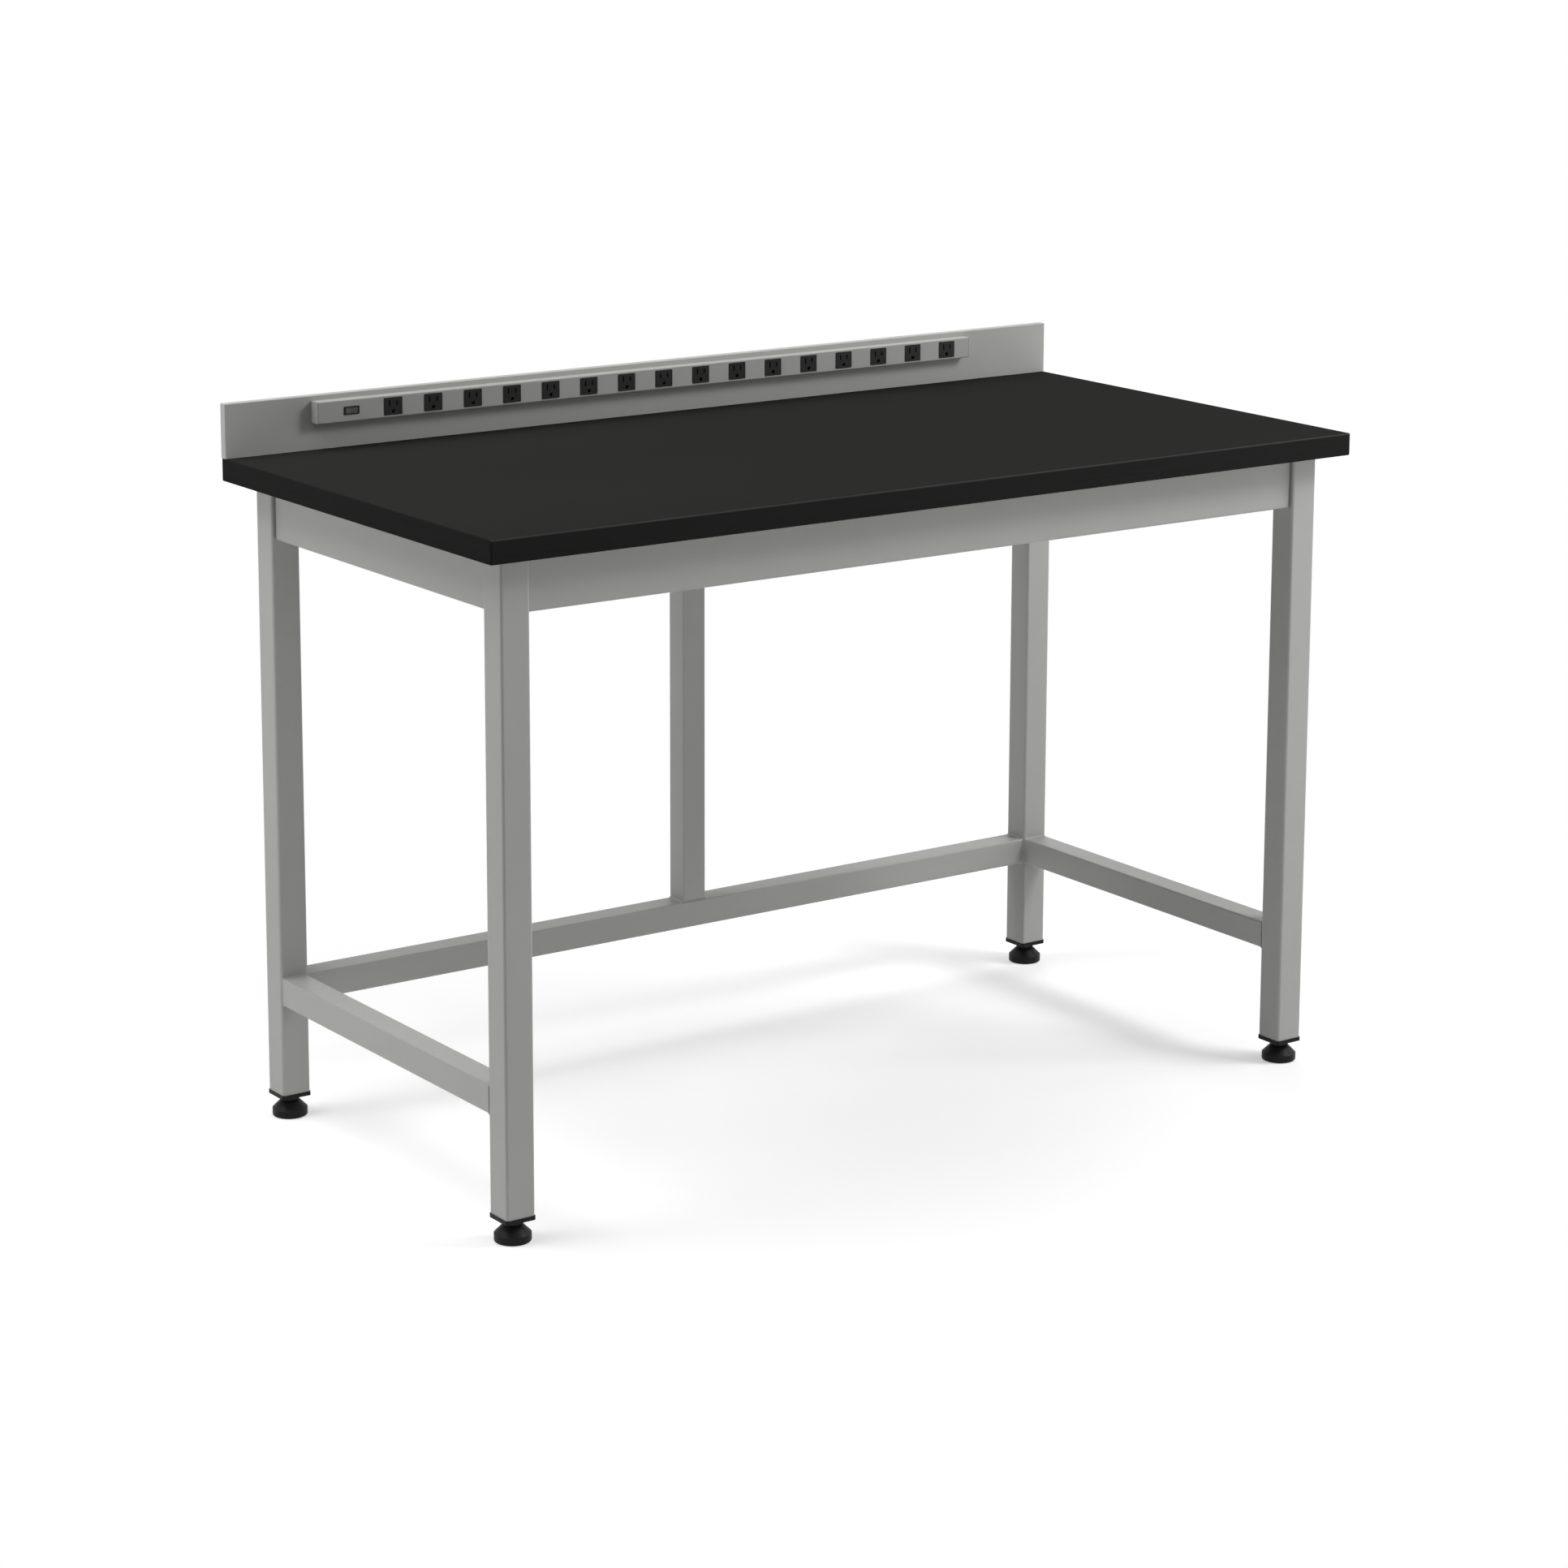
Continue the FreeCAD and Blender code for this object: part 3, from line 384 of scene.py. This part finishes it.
def make_finishes():
    """The finish of each material slot in the record."""
    cover_ends = [Vector(corner).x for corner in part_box("strip_cover")]
    worktop_corners = [Vector(corner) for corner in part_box("worktop")]
    return {
        "worktop": black_slab("worktop_laminate", SHEET_BLACK, CORE_BLACK, *worktop_corners),
        "frame": powder_coat("frame_powder_coat", GREY_PAINT, roughness=0.42),
        "ledge": powder_coat("ledge_powder_coat", GREY_PAINT, roughness=0.45),
        "strip": powder_coat("strip_enamel", STRIP_PAINT, roughness=0.40, joints=cover_ends),
        "bare_steel": spangled_zinc("galvanised_sheet", GALVANISED),
        "fastener": bare_metal("zinc_plated_steel", ZINC, roughness=0.34, streak_scale=PLATED_SCALE),
        "foot_plastic": moulded("foot_nylon", NYLON_BLACK, roughness=0.45, ior=1.22),
        "outlet_black": moulded("outlet_thermoplastic", MOULDED_BLACK, roughness=0.45, ior=1.28),
        "switch_black": moulded("switch_thermoplastic", MOULDED_BLACK, roughness=0.40, ior=1.28),
        "rocker": moulded("rocker_plastic", ROCKER_SMOKE, roughness=0.22, ior=1.5),
        "contact": bare_metal("contact_brass", BRASS, roughness=0.45, streak_scale=ROLLED_SCALE),
        "wire": moulded("wire_insulation", WIRE_BLACK, roughness=0.40, ior=1.4),
        "grommet": moulded("grommet_rubber", RUBBER_BLACK, roughness=0.65, ior=1.3),
    }


def dress_nodes(finishes):
    """Give every carried-over node the finish of its slot in the record."""
    slot_of = {part["node"]: part["material_slot"] for part in frame["record"]["subparts"]}
    for name, piece in frame["nodes"].items():
        for slot in piece.material_slots:
            slot.material = finishes[slot_of[name]]


# ---------------------------------------------------------------- modelled pieces

def add_piece(name, build, material, body):
    """A mesh made by a build function, dressed and riding on a CAD body."""
    form = bmesh.new()
    build(form)
    bmesh.ops.recalc_face_normals(form, faces=form.faces)
    mesh = bpy.data.meshes.new(name)
    form.to_mesh(mesh)
    form.free()
    mesh.shade_smooth()
    mesh.set_sharp_from_angle(angle=math.radians(SHARP_ANGLE))
    mesh.materials.append(material)
    piece = bpy.data.objects.new(name, mesh)
    bpy.context.scene.collection.objects.link(piece)
    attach(piece, body)
    return piece


def tube_outline(half_width, half_height):
    """Places and outward directions round a square tube's outline, in its own plane."""
    outline = []
    for quarter in range(4):
        turn = Matrix.Rotation(quarter * math.pi / 2, 2)
        reach, rise = (half_width, half_height) if quarter % 2 == 0 else (half_height, half_width)
        straight = rise - TUBE_CORNER
        steps = round(2 * straight / WELD_STEP)
        for step in range(steps):
            place = Vector((reach, straight * (2 * step / steps - 1)))
            outline.append((turn @ place, turn @ Vector((1.0, 0.0))))
        for step in range(WELD_CORNER_STEPS):
            angle = step / WELD_CORNER_STEPS * math.pi / 2
            outward = Vector((math.cos(angle), math.sin(angle)))
            place = Vector((reach - TUBE_CORNER, straight)) + outward * TUBE_CORNER
            outline.append((turn @ place, turn @ outward))
    return outline


def weld_bead(form, centre, across, rise, half_width, half_height, flush=None):
    """A rippled fillet round a square tube that stands on a face, with none on a flush side."""
    away = across.cross(rise)
    sections = []
    for index, (place, direction) in enumerate(tube_outline(half_width, half_height)):
        outward = across * direction.x + rise * direction.y
        if flush and outward.dot(flush) > FLUSH_LIMIT:
            sections.append(None)
            continue
        root = centre + across * place.x + rise * place.y
        leg = WELD_LEG * (1.0 - WELD_RIPPLE * (index % WELD_RIPPLE_STEPS == 0))
        corners = (root + outward * leg, root + (outward + away) * leg * WELD_CROWN,
                   root + away * leg, root - (outward + away) * WELD_ROOT)
        sections.append([form.verts.new(corner) for corner in corners])
    for index, section in enumerate(sections):
        if not section:
            continue
        following = sections[(index + 1) % len(sections)]
        if not sections[index - 1] or not following:
            form.faces.new(section)
        if following:
            for corner in range(WELD_CORNERS):
                after = (corner + 1) % WELD_CORNERS
                form.faces.new((section[corner], section[after], following[after], following[corner]))


def weld_the_frame(form):
    """Beads where the stretchers meet the legs and where the post stands on the back stretcher."""
    for node in ("stretcher_left", "stretcher_right"):
        low, high = (Vector(corner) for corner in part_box(node))
        centre, half = (low + high) / 2, (high - low) / 2
        for end_y, across in ((low.y, -X_AXIS), (high.y, X_AXIS)):
            weld_bead(form, Vector((centre.x, end_y, centre.z)), across, Z_AXIS, half.x, half.z)
    low, high = (Vector(corner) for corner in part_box("stretcher_back"))
    centre, half = (low + high) / 2, (high - low) / 2
    for end_x, across in ((low.x, Y_AXIS), (high.x, -Y_AXIS)):
        weld_bead(form, Vector((end_x, centre.y, centre.z)), across, Z_AXIS, half.y, half.z)
    low, high = (Vector(corner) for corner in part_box("mid_post"))
    centre, half = (low + high) / 2, (high - low) / 2
    weld_bead(form, Vector((centre.x, centre.y, low.z)), X_AXIS, Y_AXIS, half.x, half.y, flush=Y_AXIS)


def ring_of(centre, height, reaches):
    """Points at one height, evenly spaced round a centre, each as far out as its reach."""
    ring = []
    for index, reach in enumerate(reaches):
        angle = index / len(reaches) * 2 * math.pi
        ring.append(centre + Vector((reach * math.cos(angle), reach * math.sin(angle), height)))
    return ring


def skin_rings(form, rings):
    """Skin over closed rings of equally many points, with both ends closed."""
    loops = [[form.verts.new(point) for point in ring] for ring in rings]
    for lower, upper in zip(loops, loops[1:]):
        for index, vertex in enumerate(lower):
            following = (index + 1) % len(lower)
            form.faces.new((vertex, lower[following], upper[following], upper[index]))
    form.faces.new(loops[0])
    form.faces.new(loops[-1])


def hexagon_reaches(limit):
    """How far out a hexagon's outline lies all round, cut back to a turned radius."""
    side_angle = math.pi / 3
    reaches = []
    for facet in range(HUB_FACETS):
        from_flat = facet / HUB_FACETS * 2 * math.pi % side_angle - side_angle / 2
        reaches.append(min(HUB_FLATS / 2 / math.cos(from_flat), limit))
    return reaches


def thread_reaches(height):
    """How far out a right-hand thread with a flat root lies all round at a height."""
    reaches = []
    for facet in range(THREAD_FACETS):
        phase = (height / THREAD_PITCH - facet / THREAD_FACETS) % 1.0
        groove = THREAD_DEPTH * min(1.0, abs(2 * phase - 1) * THREAD_FLANK)
        reaches.append(THREAD_RADIUS - groove)
    return reaches


def foot_hub(form, centre, bottom, pad_top):
    """Moulded hexagon with turned chamfers, and below it the neck and collar that the pad holds."""
    corner_radius = HUB_FLATS / math.sqrt(3)
    face_radius = HUB_FLATS / 2
    hub_low = pad_top + PAD_TOP_GAP
    hub_high = hub_low + HUB_HEIGHT
    profile = ((bottom, COLLAR_RADIUS), (bottom + COLLAR_HEIGHT, COLLAR_RADIUS),
               (bottom + COLLAR_HEIGHT, THREAD_RADIUS), (hub_low, THREAD_RADIUS),
               (hub_low, face_radius), (hub_low + HUB_CHAMFER, corner_radius),
               (hub_high - HUB_CHAMFER, corner_radius), (hub_high, face_radius))
    skin_rings(form, [ring_of(centre, height, hexagon_reaches(limit)) for height, limit in profile])


def foot_thread(form, centre, bottom, top):
    """Screw thread that fades into a plain rod above the stretch that can show."""
    steps = round(THREAD_VISIBLE / THREAD_PITCH * THREAD_RINGS)
    rings = []
    for step in range(steps + 1):
        height = bottom + THREAD_VISIBLE * step / steps
        rings.append(ring_of(centre, height, thread_reaches(height)))
    rod_reaches = [THREAD_RADIUS - THREAD_DEPTH] * THREAD_FACETS
    for height in (bottom + THREAD_VISIBLE + THREAD_PITCH, top):
        rings.append(ring_of(centre, height, rod_reaches))
    skin_rings(form, rings)


def make_feet(finishes):
    """Each levelling screw as a moulded hub and a plated thread, in place of its plain CAD solid."""
    for leg in LEGS:
        node = "foot_stem_" + leg
        low, high = (Vector(corner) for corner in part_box(node))
        centre = Vector(((low.x + high.x) / 2, (low.y + high.y) / 2, 0.0))
        pad_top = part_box("foot_pad_" + leg)[1][2]
        body = "stem_" + leg
        hub = add_piece("foot_hub_" + leg, lambda form: foot_hub(form, centre, low.z, pad_top),
                        finishes["foot_plastic"], body)
        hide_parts(node)
        thread_low = pad_top + PAD_TOP_GAP + HUB_HEIGHT - THREAD_SEAT
        add_piece("foot_thread_" + leg, lambda form: foot_thread(form, centre, thread_low, high.z),
                  finishes["fastener"], body)


# ---------------------------------------------------------------- stage, light, camera

def seen_by(tree, ray_kinds):
    """1 for rays of any of these kinds, 0 for all others."""
    rays = tree.nodes.new("ShaderNodeLightPath")
    total = rays.outputs[ray_kinds[0]]
    for kind in ray_kinds[1:]:
        either = tree.nodes.new("ShaderNodeMath")
        either.operation = "MAXIMUM"
        tree.links.new(total, either.inputs[0])
        tree.links.new(rays.outputs[kind], either.inputs[1])
        total = either.outputs["Value"]
    return total


def mix_shaders(tree, factor, first, second):
    mix = tree.nodes.new("ShaderNodeMixShader")
    tree.links.new(factor, mix.inputs["Fac"])
    tree.links.new(first, mix.inputs[1])
    tree.links.new(second, mix.inputs[2])
    return mix.outputs["Shader"]


def distance_fade(tree):
    """0 on an oval round the table, 1 further out on the floor."""
    place = tree.nodes.new("ShaderNodeTexCoord")
    squeezed = tree.nodes.new("ShaderNodeMapping")
    squeezed.inputs["Scale"].default_value = (1 / FADE_STRETCH[0], 1 / FADE_STRETCH[1], 1.0)
    length = tree.nodes.new("ShaderNodeVectorMath")
    length.operation = "LENGTH"
    fade = tree.nodes.new("ShaderNodeMapRange")
    fade.interpolation_type = "SMOOTHSTEP"
    fade.inputs["From Min"].default_value = FADE_FROM
    fade.inputs["From Max"].default_value = FADE_TO
    tree.links.new(place.outputs["Object"], squeezed.inputs["Vector"])
    tree.links.new(squeezed.outputs["Vector"], length.inputs[0])
    tree.links.new(length.outputs["Value"], fade.inputs["Value"])
    return fade.outputs["Result"]


def floor_finish():
    """A pale matte floor that looks white where nothing shades it and keeps a soft shadow."""
    material = bpy.data.materials.new("pale_floor")
    material.use_nodes = True
    tree = material.node_tree
    bounce = tree.nodes["Principled BSDF"]
    bounce.inputs["Base Color"].default_value = (FLOOR_BOUNCE, FLOOR_BOUNCE, FLOOR_BOUNCE, 1.0)
    bounce.inputs["Roughness"].default_value = FLOOR_ROUGHNESS
    bounce.inputs["Specular IOR Level"].default_value = NO_GLOSS
    glow = tree.nodes.new("ShaderNodeEmission")
    glow.inputs["Strength"].default_value = FLOOR_GLOW
    lit = tree.nodes.new("ShaderNodeBsdfDiffuse")
    lit.inputs["Color"].default_value = (FLOOR_SEEN, FLOOR_SEEN, FLOOR_SEEN, 1.0)
    near = tree.nodes.new("ShaderNodeAddShader")
    tree.links.new(glow.outputs["Emission"], near.inputs[0])
    tree.links.new(lit.outputs["BSDF"], near.inputs[1])
    far = tree.nodes.new("ShaderNodeEmission")
    far.inputs["Strength"].default_value = BACKDROP_WHITE
    look = mix_shaders(tree, distance_fade(tree), near.outputs["Shader"], far.outputs["Emission"])
    surface = mix_shaders(tree, seen_by(tree, FLOOR_RAYS), bounce.outputs["BSDF"], look)
    tree.links.new(surface, tree.nodes["Material Output"].inputs["Surface"])
    return material


def make_floor():
    """A square floor with its centre under the table."""
    mesh = bpy.data.meshes.new("floor")
    side = FLOOR_HALF
    mesh.from_pydata([(-side, -side, 0), (side, -side, 0), (side, side, 0), (-side, side, 0)], [],
                     [(0, 1, 2, 3)])
    mesh.materials.append(floor_finish())
    floor = bpy.data.objects.new("floor", mesh)
    bpy.context.scene.collection.objects.link(floor)


def make_world():
    """White where it is seen, and a plain even fill for everything else."""
    world = bpy.data.worlds.new("studio")
    bpy.context.scene.world = world
    world.use_nodes = True
    tree = world.node_tree
    fill = tree.nodes["Background"]
    fill.inputs["Color"].default_value = (1.0, 1.0, 1.0, 1.0)
    fill.inputs["Strength"].default_value = WORLD_FILL
    white = tree.nodes.new("ShaderNodeBackground")
    white.inputs["Color"].default_value = (1.0, 1.0, 1.0, 1.0)
    white.inputs["Strength"].default_value = BACKDROP_WHITE
    surface = mix_shaders(tree, seen_by(tree, WORLD_RAYS),
                          fill.outputs["Background"], white.outputs["Background"])
    tree.links.new(surface, tree.nodes["World Output"].inputs["Surface"])


def add_panel(name, place, aim, side, power):
    """A square soft panel that looks at a point."""
    lamp = bpy.data.lights.new(name, "AREA")
    lamp.size = side
    lamp.energy = power
    panel = bpy.data.objects.new(name, lamp)
    panel.location = place
    panel.rotation_euler = (Vector(aim) - Vector(place)).to_track_quat("-Z", "Y").to_euler()
    bpy.context.scene.collection.objects.link(panel)


def make_camera():
    """The fitted camera, whose frame reaches further below the row that the lens points at."""
    yaw, pitch, roll = (math.radians(value) for value in (CAMERA_YAW, CAMERA_PITCH, CAMERA_ROLL))
    ahead = Vector((math.sin(yaw) * math.cos(pitch), math.cos(yaw) * math.cos(pitch), math.sin(pitch)))
    level = Vector((math.cos(yaw), -math.sin(yaw), 0.0))
    raised = level.cross(ahead)
    right = level * math.cos(roll) + raised * math.sin(roll)
    up = raised * math.cos(roll) - level * math.sin(roll)
    lens = bpy.data.cameras.new("camera")
    lens.sensor_width = SENSOR_WIDTH
    lens.lens = FOCAL_PIXELS / IMAGE_SIDE * SENSOR_WIDTH
    lens.shift_y = (AXIS_PIXEL_Y - IMAGE_SIDE / 2) / IMAGE_SIDE
    camera = bpy.data.objects.new("camera", lens)
    turn = Matrix((right, up, -ahead)).transposed()
    camera.matrix_world = Matrix.Translation(CAMERA_PLACE) @ turn.to_4x4()
    bpy.context.scene.collection.objects.link(camera)
    bpy.context.scene.camera = camera


# ---------------------------------------------------------------- the scene

make_camera()
make_world()
for panel_name, panel_facts in PANELS.items():
    add_panel(panel_name, *panel_facts)
make_floor()
all_finishes = make_finishes()
dress_nodes(all_finishes)
add_piece("weld_beads", weld_the_frame, painted_weld("weld_powder_coat", GREY_PAINT), "bench")
make_feet(all_finishes)
bpy.context.scene.view_settings.view_transform = "Standard"
